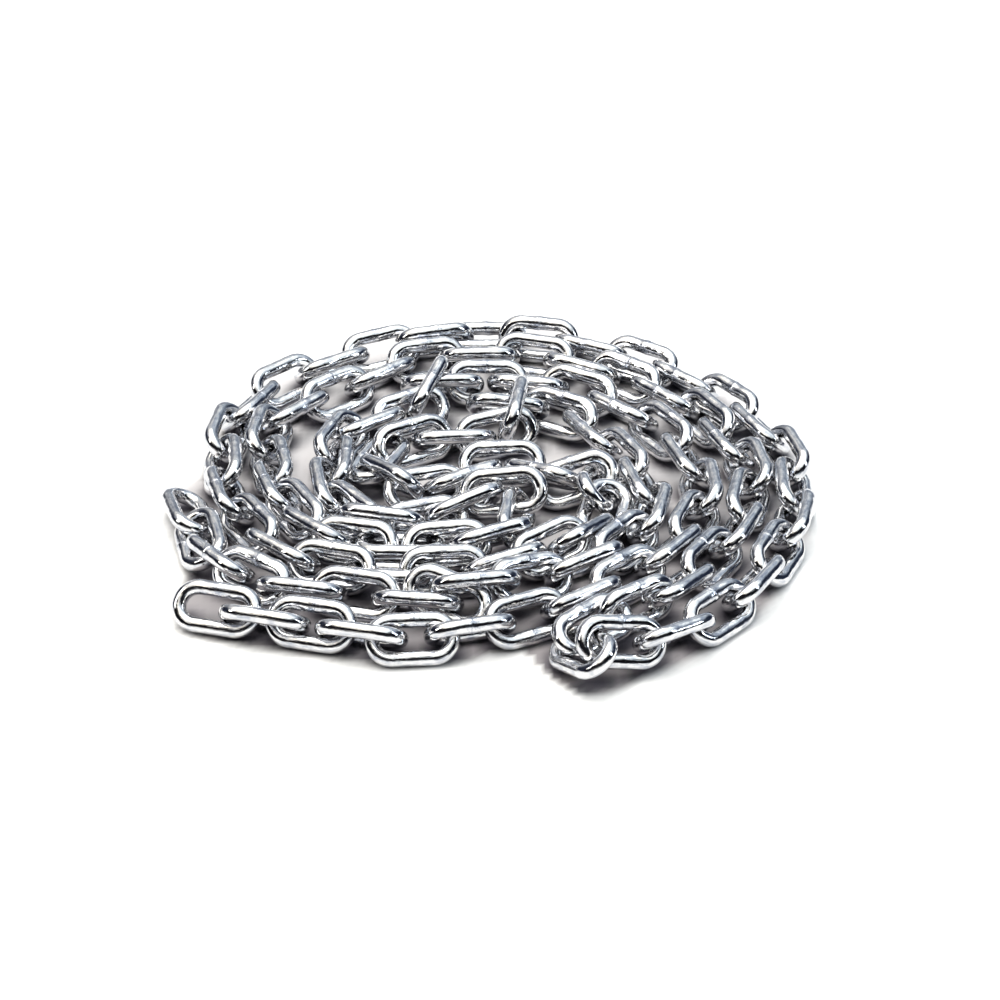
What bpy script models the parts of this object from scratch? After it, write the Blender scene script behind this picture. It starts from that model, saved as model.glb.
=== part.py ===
"""Heap of round-link steel chain: one long welded chain dropped in loose turns on the floor.

Metres, +Z up, the floor at Z = 0.  Each link is a length of round wire bent to two straight
sides and two half-round crowns and welded shut.  The links hang in one another, lean to
alternate sides along the chain, and lie three and four turns deep in a flat coil.
"""
import math

import bmesh
import bpy
import numpy as np
from mathutils import Matrix

# ---------------------------------------------------------------- driving dimensions (mm)
WIRE = 6.0            # wire diameter
LENGTH = 36.5         # outside length of a link
WIDTH = 20.6          # outside width of a link
CROWN_STEPS = 4       # straight pieces in each half-round crown
SIDES = 6             # facets round the wire
LEAN = 45.0           # how far a lying link usually leans over, in degrees
CLEAR = 6.38          # wire centre to wire centre for links that only pass each other
TOUCH = 4.70          # wire centre to wire centre for two links bedded into each other
HALF = (LENGTH - WIRE) / 2

# The run of the chain is noted on a slanted drawing of the heap, 1000 units square, as it
# looks from VIEW_RISE degrees above the floor and VIEW_FAR mm from the middle of the coil.
VIEW_RISE = 32.5
VIEW_FAR = 1189.0
VIEW_ZOOM = 2905.0
VIEW_MIDDLE = (492.0, 485.0)

# One note for each link, in order along the chain: across and down on the drawing, then the
# side that its face leans to (f front, b back, l left, r right) with the degrees where they
# are not the usual ones, z= the height of its middle in mm where it lies on others, and h= the
# way it points, in degrees on the floor, where that is not simply from link to link.  A slack
# link has slid along the side of the link before it, so their ends are not drawn together.
NOTES = """
217 611 f
265 619 b
311 626 f
362 634 b
412 640 f
467 628 b
522 621 f
578 601 b
629 575 f
671 552 b
697 522 r
706 489 l
684 460 r
663 430 l
621 413 b
577 391 f
527 387 b
487 383 f
438 386 b z=12 h=187
430 389 l68 z=13 h=-108 slack
409 412 f h=213 slack
372 427 b
340 443 r
340 468 l
336 492 r
358 512 l
388 525 b
427 523 f
462 514 b
490 502 f28 z=12 h=6
507 520 r72 z=11 h=-86
492 540 b z=12
446 545 f
399 547 b10
352 543 f
320 533 b
298 514 l
279 490 r
272 466 l
268 437 r
294 412 b
338 396 f
377 377 b
427 358 f
480 358 b
535 357 f
582 371 b
625 378 f
665 399 b
706 419 l
724 445 r
750 470 l
747 500 r
738 530 l
712 558 f
681 588 b
643 606 f55 h=190
594 622 f25 z=15 h=215
573 661 f10 z=9 h=-35
610 646 f40 z=13 h=5
675 634 b
720 617 f
752 586 b
780 556 r
797 525 l
800 490 r
794 457 l
765 428 r
730 402 f
687 383 b
643 358 f
590 349 b
543 338 f
487 338 f5
432 345 b
376 350 f
328 366 b
275 384 f
243 408 b
224 437 r
224 466 l
228 498 r
250 526 l
283 553 b
330 566 f
391 570 b10
446 570 f z=7
506 562 b
560 537 f z=10
587 543 b z=8.5 h=66
592 510 r25 z=11 h=80
594 488 f40 z=15 h=55
580 483 f50 z=9 h=203
543 477 b z=12 h=134
504 467 f
464 480 b
424 488 f
390 479 r50 z=12 h=131
384 463 r10 z=8 h=66 slack
409 441 f z=10 h=22
455 440 b
498 434 f
511 416 l75 z=13 h=77 slack
506 409 b z=13 h=2 slack
560 414 f
590 436 b
618 459 l
638 487 r
650 515 l
622 538 f
580 565 b
530 583 f
471 591 b z=15
446 598 f
416 604 b
360 591 f
301 592 b
252 577 f
222 560 b
203 538 l22 h=98
186 511 r20 h=102
"""


# ---------------------------------------------------------------- the drawing and the floor
def on_floor(across, down, height):
    """Place on the level plane at this height that the slanted drawing shows at this spot."""
    rise = math.radians(VIEW_RISE)
    eye = np.array([0.0, -VIEW_FAR * math.cos(rise), VIEW_FAR * math.sin(rise)])
    ahead = -eye / VIEW_FAR
    right = np.array([1.0, 0.0, 0.0])
    up = np.cross(right, ahead)
    turn = math.atan((VIEW_MIDDLE[0] - 500.0) / VIEW_ZOOM)
    ahead, right = (ahead * math.cos(turn) - right * math.sin(turn),
                    right * math.cos(turn) + ahead * math.sin(turn))
    dip = math.atan((VIEW_MIDDLE[1] - 500.0) / VIEW_ZOOM)
    ahead, up = (ahead * math.cos(dip) + up * math.sin(dip),
                 up * math.cos(dip) - ahead * math.sin(dip))
    ray = ahead + right * (across - 500.0) / VIEW_ZOOM - up * (down - 500.0) / VIEW_ZOOM
    return eye + ray * (height - eye[2]) / ray[2]


def read_notes():
    places, lean, degrees, heading, slack = [], [], [], [], []
    for line in NOTES.strip().splitlines():
        words = line.split()
        height, points = 8.3, None
        for word in words[3:]:
            if word.startswith("z="):
                height = float(word[2:])
            if word.startswith("h="):
                points = math.radians(float(word[2:]))
        places.append(on_floor(float(words[0]), float(words[1]), height))
        lean.append(words[2][0])
        degrees.append(float(words[2][1:]) if len(words[2]) > 1 else LEAN)
        heading.append(points)
        slack.append(words[-1] == "slack")
    return np.array(places), lean, np.array(degrees), heading, np.array(slack)


# ---------------------------------------------------------------- one link
def link_line(steps):
    """Centre line of a link's wire in its own plane: x along the link, y across it."""
    radius = (WIDTH - WIRE) / 2
    straight = (LENGTH - WIDTH) / 2
    line = []
    for side in (1, -1):
        for k in range(steps + 1):
            a = math.pi * (k / steps - 0.5)
            line.append((side * (straight + radius * math.cos(a)), side * radius * math.sin(a)))
    return np.array(line)


def stations_round(count, steps):
    """Points at equal steps round the centre line."""
    line = link_line(steps)
    closed = np.vstack([line, line[:1]])
    run = np.r_[0.0, np.cumsum(np.linalg.norm(np.diff(closed, axis=0), axis=1))]
    at = np.linspace(0.0, run[-1], count, endpoint=False)
    return np.stack([np.interp(at, run, closed[:, 0]), np.interp(at, run, closed[:, 1]),
                     np.zeros(count)], 1)


# ---------------------------------------------------------------- the lay of the chain
def unit(v):
    return v / np.maximum(np.linalg.norm(v, axis=-1, keepdims=True), 1e-9)


def turned(frames, by):
    """Each frame turned about the small vector given for it."""
    angle = np.maximum(np.linalg.norm(by, axis=1), 1e-12)
    k = by / angle[:, None]
    cross = np.zeros((len(by), 3, 3))
    cross[:, 0, 1], cross[:, 0, 2] = -k[:, 2], k[:, 1]
    cross[:, 1, 0], cross[:, 1, 2] = k[:, 2], -k[:, 0]
    cross[:, 2, 0], cross[:, 2, 1] = -k[:, 1], k[:, 0]
    turn = (np.eye(3) + np.sin(angle)[:, None, None] * cross
            + (1 - np.cos(angle))[:, None, None] * (cross @ cross))
    return turn @ frames


def evened(places, low=12.0, high=24.1):
    """Notes eased along the chain until no two neighbours are too near or too far."""
    out = places.copy()
    for _ in range(200):
        step = out[1:] - out[:-1]
        span = np.linalg.norm(step, axis=1)
        off = np.where(span > high, span - high, np.where(span < low, span - low, 0.0))
        move = 0.5 * (off / span)[:, None] * step
        out[:-1] += move
        out[1:] -= move
        out[:, 2] = places[:, 2]
        out += 0.004 * (places - out)
    return out


def first_frames(places, lean, degrees, heading):
    """Axis, width and face direction of each link, as the columns of a matrix."""
    along = np.empty_like(places)
    along[1:-1] = places[2:] - places[:-2]
    along[0], along[-1] = places[1] - places[0], places[-1] - places[-2]
    along = unit(along)
    for k, points in enumerate(heading):
        if points is not None:
            along[k, :2] = math.cos(points), math.sin(points)
    along = unit(along)
    side = unit(np.cross(along, [0.0, 0.0, 1.0]))
    up = np.cross(side, along)
    compass = {"f": (0, -1, 0), "b": (0, 1, 0), "l": (-1, 0, 0), "r": (1, 0, 0)}
    towards = np.array([compass[c] for c in lean], float)
    roll = np.radians(degrees) * np.sign((towards * side).sum(1))
    c, s = np.cos(roll)[:, None], np.sin(roll)[:, None]
    return np.stack([along, c * side - s * up, c * up + s * side], -1)


def threaded(places, frames, slack):
    """Moves and turns that keep each link's end inside the eye of the next one."""
    count = len(places)
    move, turn = np.zeros_like(places), np.zeros_like(places)
    far = HALF - WIRE - 0.05
    for sign in (1, -1):
        if sign == 1:
            own = np.arange(count - 1)
            other = own + 1
        else:
            other = np.arange(count - 1)
            own = other + 1
        tip = places[other] - sign * frames[other][:, :, 0] * HALF
        local = np.einsum("mji,mj->mi", frames[own], tip - places[own])
        kept = np.stack([np.clip(local[:, 0] * sign, -4.0, far) * sign,
                         np.clip(local[:, 1], -2.4, 2.4), np.clip(local[:, 2], -3.0, 3.0)], 1)
        off = np.einsum("mij,mj->mi", frames[own], local - kept) * 0.25
        off[slack[1:]] = 0.0
        np.add.at(move, other, -off)
        np.add.at(move, own, off)
        np.add.at(turn, other, np.cross(tip - places[other], -off) / 180.0)
        np.add.at(turn, own, np.cross(tip - places[own], off) / 180.0)
    return move / 2, turn / 2


def nearest(wire, a, b):
    """Gap, and the point on each side of it, between the centre lines of links a and b."""
    start, run = wire, np.roll(wire, -1, 1) - wire
    p, d = start[a][:, :, None], run[a][:, :, None]
    q, e = start[b][:, None], run[b][:, None]
    r = p - q
    dd, ee, de = (d * d).sum(-1), (e * e).sum(-1), (d * e).sum(-1)
    dr, er = (d * r).sum(-1), (e * r).sum(-1)
    s = np.clip((de * er - dr * ee) / np.maximum(dd * ee - de * de, 1e-6), 0.0, 1.0)
    t = np.clip((de * s + er) / ee, 0.0, 1.0)
    s = np.clip((de * t - dr) / dd, 0.0, 1.0)
    on_a, on_b = p + s[..., None] * d, q + t[..., None] * e
    gap = np.sqrt(((on_a - on_b) ** 2).sum(-1)).reshape(len(a), -1)
    best = gap.argmin(1)
    rows = np.arange(len(a))
    return (gap[rows, best], on_a.reshape(len(a), -1, 3)[rows, best],
            on_b.reshape(len(a), -1, 3)[rows, best])


def laid(places, frames, bedded, slack, steps=CROWN_STEPS, rounds=600):
    """Links eased apart until every wire clears its neighbours, the floor holding them up."""
    home, first = places.copy(), frames.copy()
    for _ in range(120):
        move, turn = threaded(places, frames, slack)
        places = places + 1.2 * move + 0.01 * (home - places)
        frames = turned(frames, 1.2 * turn)
        back = sum(np.cross(frames[:, :, q], first[:, :, q]) for q in range(3))
        frames = turned(frames, 0.01 * back)
    line = link_line(steps)
    line = np.stack([line[:, 0], line[:, 1], np.zeros(len(line))], 1)
    count = len(places)
    left, right = np.triu_indices(count, 1)
    every = np.arange(count)
    for k in range(rounds):
        ease = max(0.0, 1.0 - k / (0.7 * rounds))
        wire = np.einsum("mij,kj->mki", frames, line) + places[:, None, :]
        near = np.linalg.norm(places[left] - places[right], axis=1) < LENGTH + 7.0
        a, b = left[near], right[near]
        gap, at_a, at_b = nearest(wire, a, b)
        off = np.where(bedded[a, b], gap - TOUCH, np.minimum(gap - CLEAR, 0.0))
        push = 0.25 * off[:, None] * unit(at_b - at_a)
        move, turn = np.zeros_like(places), np.zeros_like(places)
        share = np.ones(count)
        np.add.at(move, a, push)
        np.add.at(move, b, -push)
        np.add.at(turn, a, np.cross(at_a - places[a], push) / 180.0)
        np.add.at(turn, b, np.cross(at_b - places[b], -push) / 180.0)
        hit = (np.abs(off) > 0) * 0.3
        np.add.at(share, a, hit)
        np.add.at(share, b, hit)
        height = wire[:, :, 2]
        foot = height.argmin(1)
        low = height[every, foot]
        lift = np.zeros_like(places)
        lift[:, 2] = -0.6 * np.minimum(low - WIRE / 2 - 0.15, 0.0)
        move += lift
        turn += np.cross(wire[every, foot] - places, lift) / 180.0
        sink = np.zeros_like(places)
        sink[:, 2] = -0.02 * np.minimum(low - WIRE / 2 - 0.15, 3.0) * ease
        hold = 0.8 if k < 0.45 * rounds else 0.0
        pull_move, pull_turn = threaded(places, frames, slack)
        places = (places + 1.5 * move / share[:, None] + hold * pull_move
                  + 0.03 * ease * (home - places) * [1.0, 1.0, 0.3] + sink)
        frames = turned(frames, 1.5 * turn / share[:, None] + hold * pull_turn)
        if ease > 0:
            back = sum(np.cross(frames[:, :, q], first[:, :, q]) for q in range(3))
            frames = turned(frames, 0.015 * ease * back)
    return places, frames


# ---------------------------------------------------------------- model
def steel():
    mat = bpy.data.materials.new("zinc_plated_steel")
    mat.use_nodes = True
    shader = mat.node_tree.nodes["Principled BSDF"]
    shader.inputs["Base Color"].default_value = (0.66, 0.68, 0.71, 1.0)
    shader.inputs["Metallic"].default_value = 1.0
    shader.inputs["Roughness"].default_value = 0.24
    return mat


def link_mesh(material):
    """The wire of one link as a mesh, made from a closed curve with a round bevel."""
    line = link_line(CROWN_STEPS) * 0.001
    data = bpy.data.curves.new("link_wire", "CURVE")
    data.dimensions = "3D"
    data.bevel_depth = WIRE / 2 * 0.001
    data.bevel_resolution = SIDES // 2 - 2
    spline = data.splines.new("POLY")
    spline.points.add(len(line) - 1)
    for point, (x, y) in zip(spline.points, line):
        point.co = (x, y, 0.0, 1.0)
    spline.use_cyclic_u = True
    guide = bpy.data.objects.new("link_wire", data)
    bpy.context.scene.collection.objects.link(guide)
    bpy.context.view_layer.update()
    seen = guide.evaluated_get(bpy.context.evaluated_depsgraph_get())
    mesh = bpy.data.meshes.new_from_object(seen)
    bpy.data.objects.remove(guide)
    work = bmesh.new()
    work.from_mesh(mesh)
    bmesh.ops.remove_doubles(work, verts=work.verts, dist=1e-5)
    bmesh.ops.recalc_face_normals(work, faces=work.faces)
    work.to_mesh(mesh)
    work.free()
    mesh.name = "link"
    mesh.materials.clear()
    mesh.materials.append(material)
    mesh.shade_smooth()
    mesh.set_sharp_from_angle(angle=math.radians(70.0))
    return mesh


def place(name, mesh, where, frame, collection):
    obj = bpy.data.objects.new(name, mesh)
    pose = Matrix([list(row) for row in frame]).to_4x4()
    pose.translation = [v * 0.001 for v in where]
    obj.matrix_world = pose
    collection.objects.link(obj)
    return obj


def main():
    for obj in list(bpy.data.objects):
        bpy.data.objects.remove(obj, do_unlink=True)
    parts = bpy.data.collections.new("chain_heap")
    joined = bpy.data.collections.new("chain_heap_second_links")
    bpy.context.scene.collection.children.link(parts)
    bpy.context.scene.collection.children.link(joined)

    places, lean, degrees, heading, slack = read_notes()
    places = evened(places)
    count = len(places)
    bedded = np.zeros((count, count), bool)
    groups = [list(range(k, k + 2)) for k in range(0, count - 3, 2)]
    groups.append(list(range(count - 3, count)))
    for group in groups:
        for a, b in zip(group, group[1:]):
            bedded[a, b] = True
    places, frames = laid(places, first_frames(places, lean, degrees, heading), bedded, slack)

    # the heap is centred over the origin and stands on the floor
    mesh = link_mesh(steel())
    skin = np.array([vertex.co for vertex in mesh.vertices]) * 1000.0
    heap = (np.einsum("mij,kj->mki", frames, skin) + places[:, None, :]).reshape(-1, 3)
    middle = (heap.min(0) + heap.max(0)) / 2
    middle[2] = heap[:, 2].min()
    places = places - middle

    for number, group in enumerate(groups, 1):
        name = "links_%02d" % number
        first = place(name, mesh, places[group[0]], frames[group[0]], parts)
        for k in group[1:]:
            more = place("%s_with_%d" % (name, k + 1), mesh, places[k], frames[k], joined)
            more.hide_render = True
            more.display_type = "WIRE"
            union = first.modifiers.new("with_%d" % (k + 1), "BOOLEAN")
            union.operation = "UNION"
            union.solver = "EXACT"
            union.object = more


main()
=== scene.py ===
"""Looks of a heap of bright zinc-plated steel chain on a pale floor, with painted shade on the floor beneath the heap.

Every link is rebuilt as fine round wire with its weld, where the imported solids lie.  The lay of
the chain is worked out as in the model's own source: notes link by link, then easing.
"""
import math

import bmesh
import bpy
import numpy as np
from mathutils import Matrix, Vector


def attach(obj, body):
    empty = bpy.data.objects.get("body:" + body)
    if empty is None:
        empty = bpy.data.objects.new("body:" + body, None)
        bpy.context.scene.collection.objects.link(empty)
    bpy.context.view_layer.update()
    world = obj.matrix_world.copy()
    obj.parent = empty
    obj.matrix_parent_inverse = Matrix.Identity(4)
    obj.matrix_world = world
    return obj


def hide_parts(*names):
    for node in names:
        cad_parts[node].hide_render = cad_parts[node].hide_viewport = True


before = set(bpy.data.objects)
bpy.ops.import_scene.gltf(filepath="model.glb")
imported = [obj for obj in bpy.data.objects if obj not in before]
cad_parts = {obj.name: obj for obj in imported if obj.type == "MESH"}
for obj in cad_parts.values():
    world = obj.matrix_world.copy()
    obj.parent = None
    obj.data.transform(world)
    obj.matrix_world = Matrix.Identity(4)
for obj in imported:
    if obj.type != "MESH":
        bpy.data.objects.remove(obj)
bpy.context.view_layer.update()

# ---------------------------------------------------------------- driving dimensions (mm)
WIRE = 6.0            # wire diameter
LENGTH = 36.5         # outside length of a link
WIDTH = 20.6          # outside width of a link
CROWN_STEPS = 4       # straight pieces in each half-round crown
SIDES = 6             # facets round the wire
LEAN = 45.0           # how far a lying link usually leans over, in degrees
CLEAR = 6.38          # wire centre to wire centre for links that only pass each other
TOUCH = 4.70          # wire centre to wire centre for two links bedded into each other
HALF = (LENGTH - WIRE) / 2

# The run of the chain is noted on a slanted drawing of the heap, 1000 units square, as it
# looks from VIEW_RISE degrees above the floor and VIEW_FAR mm from the middle of the coil.
VIEW_RISE = 32.5
VIEW_FAR = 1189.0
VIEW_ZOOM = 2905.0
VIEW_MIDDLE = (492.0, 485.0)

# One note for each link, in order along the chain: across and down on the drawing, then the
# side that its face leans to (f front, b back, l left, r right) with the degrees where they
# are not the usual ones, z= the height of its middle in mm where it lies on others, and h= the
# way it points, in degrees on the floor, where that is not simply from link to link.  A slack
# link has slid along the side of the link before it, so their ends are not drawn together.
NOTES = """
217 611 f
265 619 b
311 626 f
362 634 b
412 640 f
467 628 b
522 621 f
578 601 b
629 575 f
671 552 b
697 522 r
706 489 l
684 460 r
663 430 l
621 413 b
577 391 f
527 387 b
487 383 f
438 386 b z=12 h=187
430 389 l68 z=13 h=-108 slack
409 412 f h=213 slack
372 427 b
340 443 r
340 468 l
336 492 r
358 512 l
388 525 b
427 523 f
462 514 b
490 502 f28 z=12 h=6
507 520 r72 z=11 h=-86
492 540 b z=12
446 545 f
399 547 b10
352 543 f
320 533 b
298 514 l
279 490 r
272 466 l
268 437 r
294 412 b
338 396 f
377 377 b
427 358 f
480 358 b
535 357 f
582 371 b
625 378 f
665 399 b
706 419 l
724 445 r
750 470 l
747 500 r
738 530 l
712 558 f
681 588 b
643 606 f55 h=190
594 622 f25 z=15 h=215
573 661 f10 z=9 h=-35
610 646 f40 z=13 h=5
675 634 b
720 617 f
752 586 b
780 556 r
797 525 l
800 490 r
794 457 l
765 428 r
730 402 f
687 383 b
643 358 f
590 349 b
543 338 f
487 338 f5
432 345 b
376 350 f
328 366 b
275 384 f
243 408 b
224 437 r
224 466 l
228 498 r
250 526 l
283 553 b
330 566 f
391 570 b10
446 570 f z=7
506 562 b
560 537 f z=10
587 543 b z=8.5 h=66
592 510 r25 z=11 h=80
594 488 f40 z=15 h=55
580 483 f50 z=9 h=203
543 477 b z=12 h=134
504 467 f
464 480 b
424 488 f
390 479 r50 z=12 h=131
384 463 r10 z=8 h=66 slack
409 441 f z=10 h=22
455 440 b
498 434 f
511 416 l75 z=13 h=77 slack
506 409 b z=13 h=2 slack
560 414 f
590 436 b
618 459 l
638 487 r
650 515 l
622 538 f
580 565 b
530 583 f
471 591 b z=15
446 598 f
416 604 b
360 591 f
301 592 b
252 577 f
222 560 b
203 538 l22 h=98
186 511 r20 h=102
"""


# ---------------------------------------------------------------- the drawing and the floor
def on_floor(across, down, height):
    """Place on the level plane at this height that the slanted drawing shows at this spot."""
    rise = math.radians(VIEW_RISE)
    eye = np.array([0.0, -VIEW_FAR * math.cos(rise), VIEW_FAR * math.sin(rise)])
    ahead = -eye / VIEW_FAR
    right = np.array([1.0, 0.0, 0.0])
    up = np.cross(right, ahead)
    turn = math.atan((VIEW_MIDDLE[0] - 500.0) / VIEW_ZOOM)
    ahead, right = (ahead * math.cos(turn) - right * math.sin(turn),
                    right * math.cos(turn) + ahead * math.sin(turn))
    dip = math.atan((VIEW_MIDDLE[1] - 500.0) / VIEW_ZOOM)
    ahead, up = (ahead * math.cos(dip) + up * math.sin(dip),
                 up * math.cos(dip) - ahead * math.sin(dip))
    ray = ahead + right * (across - 500.0) / VIEW_ZOOM - up * (down - 500.0) / VIEW_ZOOM
    return eye + ray * (height - eye[2]) / ray[2]


def read_notes():
    places, lean, degrees, heading, slack = [], [], [], [], []
    for line in NOTES.strip().splitlines():
        words = line.split()
        height, points = 8.3, None
        for word in words[3:]:
            if word.startswith("z="):
                height = float(word[2:])
            if word.startswith("h="):
                points = math.radians(float(word[2:]))
        places.append(on_floor(float(words[0]), float(words[1]), height))
        lean.append(words[2][0])
        degrees.append(float(words[2][1:]) if len(words[2]) > 1 else LEAN)
        heading.append(points)
        slack.append(words[-1] == "slack")
    return np.array(places), lean, np.array(degrees), heading, np.array(slack)


# ---------------------------------------------------------------- one link
def link_line(steps):
    """Centre line of a link's wire in its own plane: x along the link, y across it."""
    radius = (WIDTH - WIRE) / 2
    straight = (LENGTH - WIDTH) / 2
    line = []
    for side in (1, -1):
        for k in range(steps + 1):
            a = math.pi * (k / steps - 0.5)
            line.append((side * (straight + radius * math.cos(a)), side * radius * math.sin(a)))
    return np.array(line)


def stations_round(count, steps):
    """Points at equal steps round the centre line."""
    line = link_line(steps)
    closed = np.vstack([line, line[:1]])
    run = np.r_[0.0, np.cumsum(np.linalg.norm(np.diff(closed, axis=0), axis=1))]
    at = np.linspace(0.0, run[-1], count, endpoint=False)
    return np.stack([np.interp(at, run, closed[:, 0]), np.interp(at, run, closed[:, 1]),
                     np.zeros(count)], 1)


# ---------------------------------------------------------------- the lay of the chain
def unit(v):
    return v / np.maximum(np.linalg.norm(v, axis=-1, keepdims=True), 1e-9)


def turned(frames, by):
    """Each frame turned about the small vector given for it."""
    angle = np.maximum(np.linalg.norm(by, axis=1), 1e-12)
    k = by / angle[:, None]
    cross = np.zeros((len(by), 3, 3))
    cross[:, 0, 1], cross[:, 0, 2] = -k[:, 2], k[:, 1]
    cross[:, 1, 0], cross[:, 1, 2] = k[:, 2], -k[:, 0]
    cross[:, 2, 0], cross[:, 2, 1] = -k[:, 1], k[:, 0]
    turn = (np.eye(3) + np.sin(angle)[:, None, None] * cross
            + (1 - np.cos(angle))[:, None, None] * (cross @ cross))
    return turn @ frames


def evened(places, low=12.0, high=24.1):
    """Notes eased along the chain until no two neighbours are too near or too far."""
    out = places.copy()
    for _ in range(200):
        step = out[1:] - out[:-1]
        span = np.linalg.norm(step, axis=1)
        off = np.where(span > high, span - high, np.where(span < low, span - low, 0.0))
        move = 0.5 * (off / span)[:, None] * step
        out[:-1] += move
        out[1:] -= move
        out[:, 2] = places[:, 2]
        out += 0.004 * (places - out)
    return out


def first_frames(places, lean, degrees, heading):
    """Axis, width and face direction of each link, as the columns of a matrix."""
    along = np.empty_like(places)
    along[1:-1] = places[2:] - places[:-2]
    along[0], along[-1] = places[1] - places[0], places[-1] - places[-2]
    along = unit(along)
    for k, points in enumerate(heading):
        if points is not None:
            along[k, :2] = math.cos(points), math.sin(points)
    along = unit(along)
    side = unit(np.cross(along, [0.0, 0.0, 1.0]))
    up = np.cross(side, along)
    compass = {"f": (0, -1, 0), "b": (0, 1, 0), "l": (-1, 0, 0), "r": (1, 0, 0)}
    towards = np.array([compass[c] for c in lean], float)
    roll = np.radians(degrees) * np.sign((towards * side).sum(1))
    c, s = np.cos(roll)[:, None], np.sin(roll)[:, None]
    return np.stack([along, c * side - s * up, c * up + s * side], -1)


def threaded(places, frames, slack):
    """Moves and turns that keep each link's end inside the eye of the next one."""
    count = len(places)
    move, turn = np.zeros_like(places), np.zeros_like(places)
    far = HALF - WIRE - 0.05
    for sign in (1, -1):
        if sign == 1:
            own = np.arange(count - 1)
            other = own + 1
        else:
            other = np.arange(count - 1)
            own = other + 1
        tip = places[other] - sign * frames[other][:, :, 0] * HALF
        local = np.einsum("mji,mj->mi", frames[own], tip - places[own])
        kept = np.stack([np.clip(local[:, 0] * sign, -4.0, far) * sign,
                         np.clip(local[:, 1], -2.4, 2.4), np.clip(local[:, 2], -3.0, 3.0)], 1)
        off = np.einsum("mij,mj->mi", frames[own], local - kept) * 0.25
        off[slack[1:]] = 0.0
        np.add.at(move, other, -off)
        np.add.at(move, own, off)
        np.add.at(turn, other, np.cross(tip - places[other], -off) / 180.0)
        np.add.at(turn, own, np.cross(tip - places[own], off) / 180.0)
    return move / 2, turn / 2


def nearest(wire, a, b):
    """Gap, and the point on each side of it, between the centre lines of links a and b."""
    start, run = wire, np.roll(wire, -1, 1) - wire
    p, d = start[a][:, :, None], run[a][:, :, None]
    q, e = start[b][:, None], run[b][:, None]
    r = p - q
    dd, ee, de = (d * d).sum(-1), (e * e).sum(-1), (d * e).sum(-1)
    dr, er = (d * r).sum(-1), (e * r).sum(-1)
    s = np.clip((de * er - dr * ee) / np.maximum(dd * ee - de * de, 1e-6), 0.0, 1.0)
    t = np.clip((de * s + er) / ee, 0.0, 1.0)
    s = np.clip((de * t - dr) / dd, 0.0, 1.0)
    on_a, on_b = p + s[..., None] * d, q + t[..., None] * e
    gap = np.sqrt(((on_a - on_b) ** 2).sum(-1)).reshape(len(a), -1)
    best = gap.argmin(1)
    rows = np.arange(len(a))
    return (gap[rows, best], on_a.reshape(len(a), -1, 3)[rows, best],
            on_b.reshape(len(a), -1, 3)[rows, best])


def laid(places, frames, bedded, slack, steps=CROWN_STEPS, rounds=600):
    """Links eased apart until every wire clears its neighbours, the floor holding them up."""
    home, first = places.copy(), frames.copy()
    for _ in range(120):
        move, turn = threaded(places, frames, slack)
        places = places + 1.2 * move + 0.01 * (home - places)
        frames = turned(frames, 1.2 * turn)
        back = sum(np.cross(frames[:, :, q], first[:, :, q]) for q in range(3))
        frames = turned(frames, 0.01 * back)
    line = link_line(steps)
    line = np.stack([line[:, 0], line[:, 1], np.zeros(len(line))], 1)
    count = len(places)
    left, right = np.triu_indices(count, 1)
    every = np.arange(count)
    for k in range(rounds):
        ease = max(0.0, 1.0 - k / (0.7 * rounds))
        wire = np.einsum("mij,kj->mki", frames, line) + places[:, None, :]
        near = np.linalg.norm(places[left] - places[right], axis=1) < LENGTH + 7.0
        a, b = left[near], right[near]
        gap, at_a, at_b = nearest(wire, a, b)
        off = np.where(bedded[a, b], gap - TOUCH, np.minimum(gap - CLEAR, 0.0))
        push = 0.25 * off[:, None] * unit(at_b - at_a)
        move, turn = np.zeros_like(places), np.zeros_like(places)
        share = np.ones(count)
        np.add.at(move, a, push)
        np.add.at(move, b, -push)
        np.add.at(turn, a, np.cross(at_a - places[a], push) / 180.0)
        np.add.at(turn, b, np.cross(at_b - places[b], -push) / 180.0)
        hit = (np.abs(off) > 0) * 0.3
        np.add.at(share, a, hit)
        np.add.at(share, b, hit)
        height = wire[:, :, 2]
        foot = height.argmin(1)
        low = height[every, foot]
        lift = np.zeros_like(places)
        lift[:, 2] = -0.6 * np.minimum(low - WIRE / 2 - 0.15, 0.0)
        move += lift
        turn += np.cross(wire[every, foot] - places, lift) / 180.0
        sink = np.zeros_like(places)
        sink[:, 2] = -0.02 * np.minimum(low - WIRE / 2 - 0.15, 3.0) * ease
        hold = 0.8 if k < 0.45 * rounds else 0.0
        pull_move, pull_turn = threaded(places, frames, slack)
        places = (places + 1.5 * move / share[:, None] + hold * pull_move
                  + 0.03 * ease * (home - places) * [1.0, 1.0, 0.3] + sink)
        frames = turned(frames, 1.5 * turn / share[:, None] + hold * pull_turn)
        if ease > 0:
            back = sum(np.cross(frames[:, :, q], first[:, :, q]) for q in range(3))
            frames = turned(frames, 0.015 * ease * back)
    return places, frames


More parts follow.
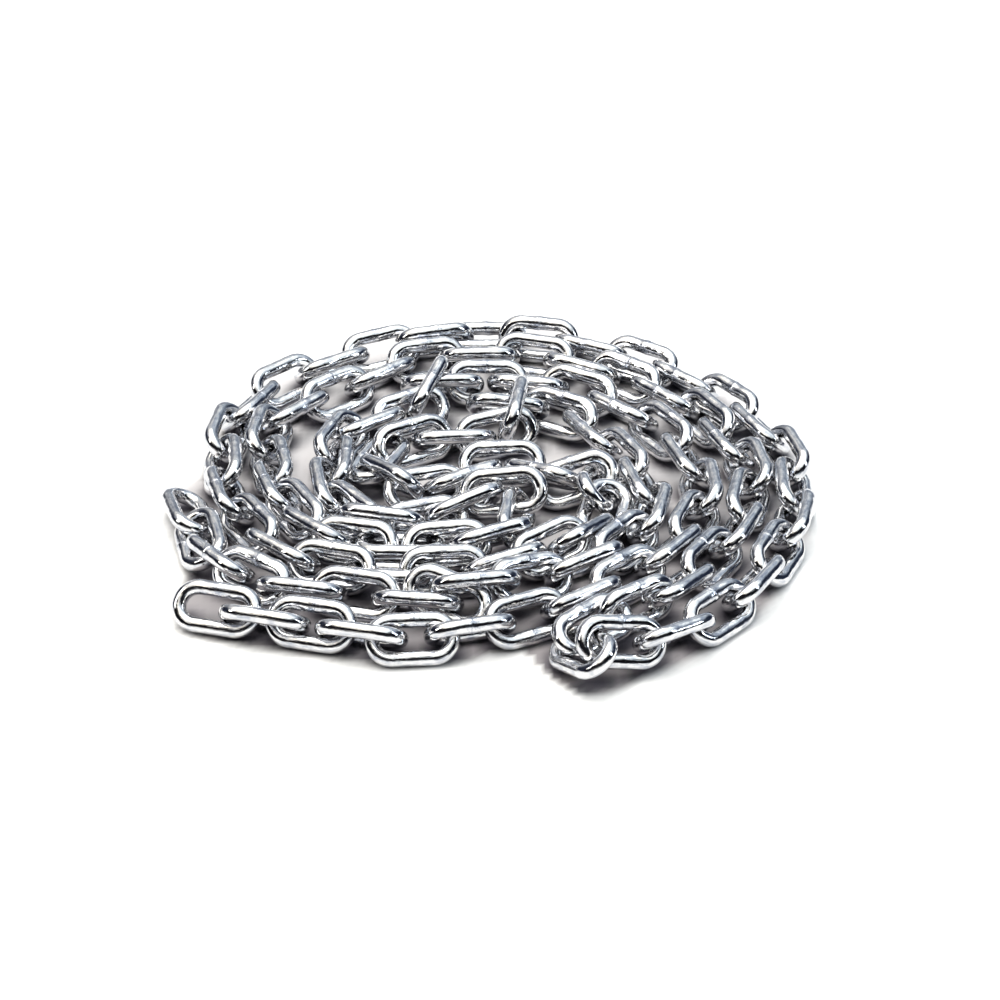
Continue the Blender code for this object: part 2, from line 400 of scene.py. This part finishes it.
def solid_skin():
    """Corners of the six-sided solid link, in mm, as the heap was centred by them."""
    line = link_line(CROWN_STEPS) * 0.001
    data = bpy.data.curves.new("link_wire", "CURVE")
    data.dimensions = "3D"
    data.bevel_depth = WIRE / 2 * 0.001
    data.bevel_resolution = SIDES // 2 - 2
    spline = data.splines.new("POLY")
    spline.points.add(len(line) - 1)
    for point, (x, y) in zip(spline.points, line):
        point.co = (x, y, 0.0, 1.0)
    spline.use_cyclic_u = True
    guide = bpy.data.objects.new("link_wire", data)
    bpy.context.scene.collection.objects.link(guide)
    bpy.context.view_layer.update()
    seen = guide.evaluated_get(bpy.context.evaluated_depsgraph_get())
    mesh = bpy.data.meshes.new_from_object(seen)
    bpy.data.objects.remove(guide)
    work = bmesh.new()
    work.from_mesh(mesh)
    bmesh.ops.remove_doubles(work, verts=work.verts, dist=1e-5)
    bmesh.ops.recalc_face_normals(work, faces=work.faces)
    work.to_mesh(mesh)
    work.free()
    out = np.array([vertex.co for vertex in mesh.vertices]) * 1000.0
    bpy.data.meshes.remove(mesh)
    return out


# ---------------------------------------------------------------- looks: one fine link
AROUND = 22           # facets round the fine wire
STEPS = 12            # straight pieces in each fine crown, for the lay
MM = 0.001


def fine_line():
    """Stations round a link: place, and the inward and flat directions of the wire's section."""
    radius = (WIDTH - WIRE) / 2
    straight = (LENGTH - WIDTH) / 2
    out = []
    # the plain side, from left to right below, then the right crown, the welded side, the left crown
    for k in range(6):
        out.append((-straight + 2 * straight * k / 6, -radius, 0.0, -1.0))
    for k in range(20):
        a = math.pi * (k / 20 - 0.5)
        out.append((straight + radius * math.cos(a), radius * math.sin(a), math.cos(a), math.sin(a)))
    xs = [straight, 5.2, 3.4, 2.4, 1.6, 1.05, 0.65, 0.3, 0.0, -0.3, -0.65, -1.05, -1.6, -2.4, -3.4, -5.2]
    for x in xs:
        out.append((x, radius, 0.0, 1.0))
    for k in range(20):
        a = math.pi * (k / 20 + 0.5)
        out.append((-straight + radius * math.cos(a), radius * math.sin(a), math.cos(a), math.sin(a)))
    return out


def smooth(t):
    t = min(max(t, 0.0), 1.0)
    return t * t * (3 - 2 * t)


def fine_link(rng):
    """Points, faces, and the run of the wire at each point, of one link of its own shape."""
    line = fine_line()
    count = len(line)
    run = [0.0]
    for k in range(1, count + 1):
        p, q = line[k - 1], line[k % count]
        run.append(run[-1] + math.hypot(q[0] - p[0], q[1] - p[1]))
    upset = rng.uniform(0.08, 0.24)       # how proud the weld stands
    ridge = rng.uniform(0.04, 0.16)
    slip = rng.uniform(-0.18, 0.18)       # the two wire ends meet slightly off line
    lift = rng.uniform(-0.18, 0.18)
    shift = rng.uniform(-0.8, 0.8)
    phase = rng.uniform(0, 2 * math.pi)
    points, uvs, burn = [], [], []
    for k, (x, y, nx, ny) in enumerate(line):
        on_weld = ny == 1.0 and abs(x) < 6.0
        bend = abs(nx)
        r = WIRE / 2
        grow, off_n, off_z = 0.0, 0.0, 0.0
        if on_weld:
            w = x - shift
            grow = upset * (1 - smooth((abs(w) - 0.9) / 2.2)) + ridge * math.exp(-(w / 0.42) ** 2)
            side = 1 if w > 0 else -1
            fade = 1 - smooth((abs(w) - 0.3) / 3.5)
            off_n = slip * side * fade * 0.5
            off_z = lift * side * fade * 0.5
        for j in range(AROUND):
            a = 2 * math.pi * j / AROUND
            c, s = math.cos(a), math.sin(a)
            # bent wire goes slightly oval: thinner across the bend, flatter outside it
            rn = r * (1 - 0.030 * bend) + grow * (0.85 if c > 0 else 0.6)
            rz = r * (1 + 0.022 * bend) + grow * 0.9
            flat = 0.10 * bend * max(c, 0.0) ** 6
            wave = 0.025 * math.sin(3 * a + phase + 0.35 * run[k])
            n = (rn + wave) * c - flat + off_n
            z = (rz + wave) * s + off_z
            points.append((x + nx * n, y + ny * n, z))
            burn.append(math.exp(-((x - shift) / 2.6) ** 2) if on_weld else 0.0)
    faces = []
    for k in range(count):
        for j in range(AROUND):
            faces.append((k * AROUND + j, ((k + 1) % count) * AROUND + j,
                          ((k + 1) % count) * AROUND + (j + 1) % AROUND, k * AROUND + (j + 1) % AROUND))
            u0, u1 = run[k], run[k + 1]
            v0, v1 = j / AROUND, (j + 1) / AROUND
            uvs.append(((u0, v0), (u1, v0), (u1, v1), (u0, v1)))
    return np.array(points), faces, uvs, burn


# ---------------------------------------------------------------- looks: steel
def steel():
    mat = bpy.data.materials.new("zinc_plated_steel_fine")
    mat.use_nodes = True
    tree = mat.node_tree
    nodes, links = tree.nodes, tree.links
    shader = nodes["Principled BSDF"]
    shader.inputs["Metallic"].default_value = 1.0

    def node(kind, **set_to):
        made = nodes.new(kind)
        for key, value in set_to.items():
            setattr(made, key, value)
        return made

    def noise(scale, detail, rough, vector):
        made = node("ShaderNodeTexNoise")
        made.inputs["Scale"].default_value = scale
        made.inputs["Detail"].default_value = detail
        made.inputs["Roughness"].default_value = rough
        links.new(vector, made.inputs["Vector"])
        return made.outputs["Fac"]

    def ranged(value, low, high, to_low, to_high):
        made = node("ShaderNodeMapRange")
        made.inputs["From Min"].default_value = low
        made.inputs["From Max"].default_value = high
        made.inputs["To Min"].default_value = to_low
        made.inputs["To Max"].default_value = to_high
        links.new(value, made.inputs["Value"])
        return made.outputs["Result"]

    def maths(kind, one, two):
        made = node("ShaderNodeMath", operation=kind)
        for socket, value in zip(made.inputs, (one, two)):
            if isinstance(value, float):
                socket.default_value = value
            else:
                links.new(value, socket)
        return made.outputs[0]

    spot = node("ShaderNodeTexCoord").outputs["Object"]
    uv = node("ShaderNodeUVMap", uv_map="wire")
    weld = node("ShaderNodeAttribute", attribute_name="weld").outputs["Fac"]
    # long drawn streaks along the wire
    stretch = node("ShaderNodeMapping")
    stretch.inputs["Scale"].default_value = (0.16, 17.0, 1.0)
    links.new(uv.outputs["UV"], stretch.inputs["Vector"])
    streak = noise(1.0, 3.0, 0.55, stretch.outputs["Vector"])
    # cloudy plating, millimetres across, and the fine frost of its crystals
    cloud = noise(230.0, 4.0, 0.6, spot)
    frost = noise(1500.0, 2.0, 0.6, spot)
    # slow unevenness of the bent wire, and the small dents of handling
    slow = noise(130.0, 1.0, 0.4, spot)
    dent = noise(430.0, 2.0, 0.5, spot)

    # darker where the streaks and the weld's scorch lie
    mottle = maths("ADD", maths("MULTIPLY", streak, 0.55), maths("MULTIPLY", cloud, 0.45))
    scorch = maths("MULTIPLY", weld, ranged(frost, 0.42, 0.58, 0.0, 1.0))
    shade = maths("SUBTRACT", mottle, maths("MULTIPLY", scorch, 0.16))
    tone = node("ShaderNodeValToRGB")
    tone.color_ramp.elements[0].position = 0.34
    tone.color_ramp.elements[0].color = (0.34, 0.365, 0.43, 1.0)
    tone.color_ramp.elements[1].position = 0.62
    tone.color_ramp.elements[1].color = (0.845, 0.835, 0.82, 1.0)
    links.new(shade, tone.inputs["Fac"])
    links.new(tone.outputs["Color"], shader.inputs["Base Color"])

    rough = maths("ADD", ranged(mottle, 0.38, 0.62, 0.15, 0.05), maths("MULTIPLY", scorch, 0.16))
    links.new(rough, shader.inputs["Roughness"])

    def bumped(height, strength, distance, normal=None):
        made = node("ShaderNodeBump")
        made.inputs["Strength"].default_value = strength
        made.inputs["Distance"].default_value = distance
        links.new(height, made.inputs["Height"])
        if normal is not None:
            links.new(normal, made.inputs["Normal"])
        return made.outputs["Normal"]

    normal = bumped(slow, 0.55, 0.0008)
    normal = bumped(dent, 0.21, 0.0004, normal)
    normal = bumped(streak, 0.35, 0.0003, normal)
    normal = bumped(maths("MULTIPLY", frost, maths("ADD", weld, 0.12)), 0.5, 0.00012, normal)
    links.new(normal, shader.inputs["Normal"])
    return mat


# ---------------------------------------------------------------- looks: the lay with round crowns
def seated(places, frames, rounds=160, gap_wanted=6.03):
    """The solids' lay eased so that no fine wire runs into another and touching links just touch."""
    line = link_line(STEPS)
    line = np.stack([line[:, 0], line[:, 1], np.zeros(len(line))], 1)
    count = len(places)
    left, right = np.triu_indices(count, 1)
    every = np.arange(count)
    home, first = places.copy(), frames.copy()
    near = np.linalg.norm(places[left] - places[right], axis=1) < LENGTH + 5.0
    a, b = left[near], right[near]
    for k in range(rounds):
        wire = np.einsum("mij,kj->mki", frames, line) + places[:, None, :]
        gap, at_a, at_b = nearest(wire, a, b)
        off = np.minimum(gap - gap_wanted, 0.0)
        push = 0.25 * off[:, None] * unit(at_b - at_a)
        move, turn = np.zeros_like(places), np.zeros_like(places)
        share = np.ones(count)
        np.add.at(move, a, push)
        np.add.at(move, b, -push)
        np.add.at(turn, a, np.cross(at_a - places[a], push) / 180.0)
        np.add.at(turn, b, np.cross(at_b - places[b], -push) / 180.0)
        hit = (off < 0) * 0.3
        np.add.at(share, a, hit)
        np.add.at(share, b, hit)
        height = wire[:, :, 2]
        foot = height.argmin(1)
        low = height[every, foot]
        lift = np.zeros_like(places)
        lift[:, 2] = -0.6 * np.minimum(low - WIRE / 2, 0.0)
        move += lift
        turn += np.cross(wire[every, foot] - places, lift) / 180.0
        ease = max(0.0, 1.0 - k / (0.6 * rounds))
        places = places + 1.5 * move / share[:, None] + 0.02 * ease * (home - places)
        frames = turned(frames, 1.5 * turn / share[:, None])
    return places, frames


places, lean, degrees, heading, slack = read_notes()
places = evened(places)
count = len(places)
bedded = np.zeros((count, count), bool)
groups = [list(range(k, k + 2)) for k in range(0, count - 3, 2)]
groups.append(list(range(count - 3, count)))
for group in groups:
    for a, b in zip(group, group[1:]):
        bedded[a, b] = True
places, frames = laid(places, first_frames(places, lean, degrees, heading), bedded, slack)
skin = solid_skin()
heap = (np.einsum("mij,kj->mki", frames, skin) + places[:, None, :]).reshape(-1, 3)
middle = (heap.min(0) + heap.max(0)) / 2
middle[2] = heap[:, 2].min()
places = places - middle
places, frames = seated(places, frames)

metal = steel()
rng = np.random.RandomState(11)
for number, group in enumerate(groups, 1):
    name = "links_%02d" % number
    verts, faces, uvs, burns = [], [], [], []
    for k in group:
        points, quads, corner, burn = fine_link(rng)
        burns.extend(burn)
        if rng.rand() < 0.5:                      # welds lie on either side along the chain
            points = points * [1.0, -1.0, -1.0]
        points = points @ frames[k].T + places[k]
        points[:, 2] = np.maximum(points[:, 2], 0.02)
        start = len(verts)
        verts.extend(points * MM)
        faces.extend([tuple(start + i for i in quad) for quad in quads])
        shift = rng.uniform(0, 900)
        uvs.extend([[(u + shift, v) for u, v in four] for four in corner])
    mesh = bpy.data.meshes.new(name + "_wire")
    mesh.from_pydata([tuple(v) for v in verts], [], faces)
    layer = mesh.uv_layers.new(name="wire")
    layer.data.foreach_set("uv", np.array(uvs, np.float32).reshape(-1))
    layer = mesh.attributes.new("weld", "FLOAT", "POINT")
    layer.data.foreach_set("value", np.array(burns, np.float32))
    mesh.materials.append(metal)
    work = bmesh.new()
    work.from_mesh(mesh)
    bmesh.ops.recalc_face_normals(work, faces=work.faces)
    work.to_mesh(mesh)
    work.free()
    mesh.shade_smooth()
    piece = bpy.data.objects.new(name + "_wire", mesh)
    bpy.context.scene.collection.objects.link(piece)
    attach(piece, "root")
    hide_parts(name)


# ---------------------------------------------------------------- floor, camera and light
def reach(spots, parts=96):
    """How far these spots lie from the middle of the floor, all the way round, in mm."""
    way = np.arctan2(spots[:, 1], spots[:, 0])
    far = np.hypot(spots[:, 0], spots[:, 1])
    out = np.zeros(parts)
    for k in range(parts):
        a = 2 * math.pi * k / parts - math.pi
        near = np.abs((way - a + math.pi) % (2 * math.pi) - math.pi) < 2.6 * math.pi / parts
        out[k] = far[near].max() if near.any() else 0.0
    return out


def floor_mesh():
    """A pale floor with a finer middle, each corner told how much painted shade it carries: a grey patch beneath the
    heap, darker beside the low wires and towards the front.
    """
    line = link_line(STEPS)
    line = np.stack([line[:, 0], line[:, 1], np.zeros(len(line))], 1)
    wire = (np.einsum("mij,kj->mki", frames, line) + places[:, None, :]).reshape(-1, 3)
    # the painted shade patch reaches further to the back, as the wires stand above the floor
    lean_back = wire + wire[:, 2:] * np.array([0.0, 1.5, 0.0])
    far = np.maximum(reach(wire) - 2.5, reach(lean_back) - 4.0)
    for _ in range(2):
        far = np.minimum(far, (np.roll(far, 1) + 2 * far + np.roll(far, -1)) / 4)
    parts = len(far)
    low = wire[wire[:, 2] < 12.0]
    verts, faces, painted_shade_patch, painted_contact_shadow, painted_lighter_back = [], [], [], [], []
    side, step = 180.0, 3.0
    row = int(2 * side / step) + 1
    edge = [-6000.0, -1500.0, -600.0, -300.0] + [-side + step * k for k in range(row)] + [300.0, 600.0, 1500.0, 6000.0]
    for y in edge:
        for x in edge:
            verts.append((x * MM, y * MM, 0.0))
            r = math.hypot(x, y)
            at = (math.atan2(y, x) + math.pi) / (2 * math.pi) * parts
            one = int(at) % parts
            limit = far[one] + (far[(one + 1) % parts] - far[one]) * (at - int(at))
            # painted shade: full inside the heap's outline, fading out to the pale floor within 6 mm
            painted_shade_patch.append(1.0 - smooth((r - limit) / 6.0))
            # painted shade: the floor between the wires is drawn darker at the front of the heap and lighter at the
            # back
            painted_lighter_back.append(smooth((y + 110.0) / 220.0))
            # painted contact shadow: the floor is drawn near black within about 1 to 9 mm of the wires that lie low
            gap = 99.0
            if r < 175.0:
                gap = math.sqrt(((low[:, :2] - (x, y)) ** 2).sum(1).min())
            painted_contact_shadow.append(1.0 - smooth((gap - 1.0) / 8.0))
    n = len(edge)
    for j in range(n - 1):
        for i in range(n - 1):
            faces.append((j * n + i, j * n + i + 1, (j + 1) * n + i + 1, (j + 1) * n + i))
    mesh = bpy.data.meshes.new("floor")
    mesh.from_pydata(verts, [], faces)
    for name, values in (("painted_shade_patch", painted_shade_patch), ("painted_contact_shadow", painted_contact_shadow), ("painted_lighter_back", painted_lighter_back)):
        layer = mesh.attributes.new(name, "FLOAT", "POINT")
        layer.data.foreach_set("value", np.array(values, np.float32))
    return mesh


def floor_material():
    mat = bpy.data.materials.new("pale_floor_painted_shade")
    mat.use_nodes = True
    tree = mat.node_tree
    shader = tree.nodes["Principled BSDF"]
    shader.inputs["Roughness"].default_value = 0.8
    shader.inputs["Specular IOR Level"].default_value = 0.1
    def told(name):
        made = tree.nodes.new("ShaderNodeAttribute")
        made.attribute_name = name
        return made.outputs["Fac"]

    def mixed(factor, one, two):
        made = tree.nodes.new("ShaderNodeMix")
        made.data_type = "RGBA"
        tree.links.new(factor, made.inputs[0])
        for socket, value in ((made.inputs[6], one), (made.inputs[7], two)):
            if isinstance(value, tuple):
                socket.default_value = value + (1.0,)
            else:
                tree.links.new(value, socket)
        return made.outputs[2]

    # painted shade between the wires: dark grey at the front, lighter grey at the back
    painted_gap_shade = mixed(told("painted_lighter_back"), (0.32, 0.300, 0.310), (0.68, 0.665, 0.675))
    # painted contact shadow: near black beside the low wires
    shade = mixed(told("painted_contact_shadow"), painted_gap_shade, (0.085, 0.080, 0.097))
    # painted shade patch beneath the heap, with the pale floor outside it
    tree.links.new(mixed(told("painted_shade_patch"), (0.95, 0.95, 0.95), shade), shader.inputs["Base Color"])
    return mat


mesh = floor_mesh()
floor = bpy.data.objects.new("floor", mesh)
mesh.materials.append(floor_material())
bpy.context.scene.collection.objects.link(floor)

rise = math.radians(VIEW_RISE)
eye = np.array([0.0, -VIEW_FAR * math.cos(rise), VIEW_FAR * math.sin(rise)])
ahead = -eye / VIEW_FAR
right = np.array([1.0, 0.0, 0.0])
up = np.cross(right, ahead)
turn = math.atan((VIEW_MIDDLE[0] - 500.0) / VIEW_ZOOM)
ahead, right = (ahead * math.cos(turn) - right * math.sin(turn),
                right * math.cos(turn) + ahead * math.sin(turn))
dip = math.atan((VIEW_MIDDLE[1] - 500.0) / VIEW_ZOOM)
ahead, up = (ahead * math.cos(dip) + up * math.sin(dip), up * math.cos(dip) - ahead * math.sin(dip))
data = bpy.data.cameras.new("camera")
data.sensor_width = 36.0
data.sensor_fit = "HORIZONTAL"
data.lens = VIEW_ZOOM / 1000.0 * 36.0
data.clip_start = 0.05
data.clip_end = 50.0
camera = bpy.data.objects.new("camera", data)
pose = Matrix([[right[0], up[0], -ahead[0]], [right[1], up[1], -ahead[1]],
               [right[2], up[2], -ahead[2]]]).to_4x4()
pose.translation = Vector((eye - middle) * MM)
camera.matrix_world = pose
bpy.context.scene.collection.objects.link(camera)
bpy.context.scene.camera = camera


def lamp(name, where, size, power, colour, aim=(0.0, 0.0, 0.01)):
    light = bpy.data.lights.new(name, "AREA")
    light.shape = "RECTANGLE"
    light.size, light.size_y = size
    light.energy = power
    light.color = colour
    obj = bpy.data.objects.new(name, light)
    obj.location = where
    obj.rotation_euler = (Vector(aim) - Vector(where)).to_track_quat("-Z", "Y").to_euler()
    bpy.context.scene.collection.objects.link(obj)
    return obj


lamp("soft_top", (-0.25, 0.30, 1.6), (1.4, 1.1), 18.0, (1.0, 0.98, 0.96))
lamp("soft_left", (-1.3, -0.35, 1.0), (0.25, 0.8), 5.0, (1.0, 0.97, 0.92))
lamp("soft_right", (1.35, -0.35, 0.85), (0.22, 0.7), 5.0, (0.84, 0.92, 1.0))

world = bpy.data.worlds.new("studio")
bpy.context.scene.world = world
world.use_nodes = True
tree = world.node_tree
back = tree.nodes["Background"]


def world_range(value, low, high, to_low=0.0, to_high=1.0):
    made = tree.nodes.new("ShaderNodeMapRange")
    made.interpolation_type = "SMOOTHSTEP"
    made.inputs["From Min"].default_value = low
    made.inputs["From Max"].default_value = high
    made.inputs["To Min"].default_value = to_low
    made.inputs["To Max"].default_value = to_high
    tree.links.new(value, made.inputs["Value"])
    return made.outputs["Result"]


def world_ramp(stops):
    """Light by height: z from -1 straight down to 1 straight up."""
    linear = tree.nodes.new("ShaderNodeMapRange")
    linear.inputs["From Min"].default_value = -1.0
    tree.links.new(split.outputs["Z"], linear.inputs["Value"])
    ramp = tree.nodes.new("ShaderNodeValToRGB")
    elements = ramp.color_ramp.elements
    while len(elements) < len(stops):
        elements.new(0.5)
    for element, (z, level, tint) in zip(elements, stops):
        element.position = (z + 1.0) / 2.0
        element.color = tuple(level * c for c in tint) + (1.0,)
    tree.links.new(linear.outputs["Result"], ramp.inputs["Fac"])
    return ramp.outputs["Color"]


def world_mix(kind, factor, one, two):
    made = tree.nodes.new("ShaderNodeMix")
    made.data_type = "RGBA"
    made.blend_type = kind
    for socket, value in ((made.inputs[0], factor), (made.inputs[6], one), (made.inputs[7], two)):
        if isinstance(value, float):
            socket.default_value = value
        elif isinstance(value, tuple):
            socket.default_value = value + (1.0,)
        else:
            tree.links.new(value, socket)
    return made.outputs[2]


spot = tree.nodes.new("ShaderNodeTexCoord")
split = tree.nodes.new("ShaderNodeSeparateXYZ")
tree.links.new(spot.outputs["Generated"], split.inputs[0])
PLAIN, DIM, COOL, WARM = (1.0, 1.0, 1.0), (0.95, 0.90, 1.15), (0.92, 0.97, 1.08), (1.0, 0.965, 0.905)
# in front of the heap: a pale low wall, the dark room, the light overhead
front = world_ramp([(-1.0, 0.20, PLAIN), (-0.02, 0.20, PLAIN), (0.02, 0.24, PLAIN), (0.16, 0.22, PLAIN),
                    (0.22, 0.008, DIM), (0.68, 0.006, DIM), (0.75, 0.50, WARM), (0.84, 1.0, WARM),
                    (1.0, 1.08, WARM)])
# behind it: a grey backdrop, lighter low down
behind = world_ramp([(-1.0, 0.20, PLAIN), (-0.02, 0.20, PLAIN), (0.02, 0.46, COOL), (0.10, 0.40, COOL),
                     (0.18, 0.17, COOL), (0.40, 0.27, COOL), (0.55, 0.50, PLAIN), (0.62, 0.36, COOL),
                     (0.67, 0.36, COOL), (0.76, 0.92, WARM), (1.0, 1.05, WARM)])
room = world_mix("MIX", world_range(split.outputs["Y"], -0.30, 0.30), front, behind)
# the two sides are darker up to the lamps' height
wide = tree.nodes.new("ShaderNodeMath")
wide.operation = "ABSOLUTE"
tree.links.new(split.outputs["X"], wide.inputs[0])
flank = tree.nodes.new("ShaderNodeMath")
flank.operation = "MULTIPLY"
tree.links.new(world_range(wide.outputs[0], 0.45, 0.80), flank.inputs[0])
tree.links.new(world_range(split.outputs["Z"], 0.66, 0.50), flank.inputs[1])
room = world_mix("MULTIPLY", flank.outputs[0], room, (0.07, 0.08, 0.12))
# warm from the left, cool from the right
tint = world_mix("MIX", world_range(split.outputs["X"], -0.7, 0.7), (1.0, 0.97, 0.92), (0.84, 0.93, 1.0))
tree.links.new(world_mix("MULTIPLY", 1.0, room, tint), back.inputs["Color"])
back.inputs["Strength"].default_value = 1.95

bpy.context.scene.view_settings.view_transform = "Standard"
bpy.context.scene.view_settings.look = "None"
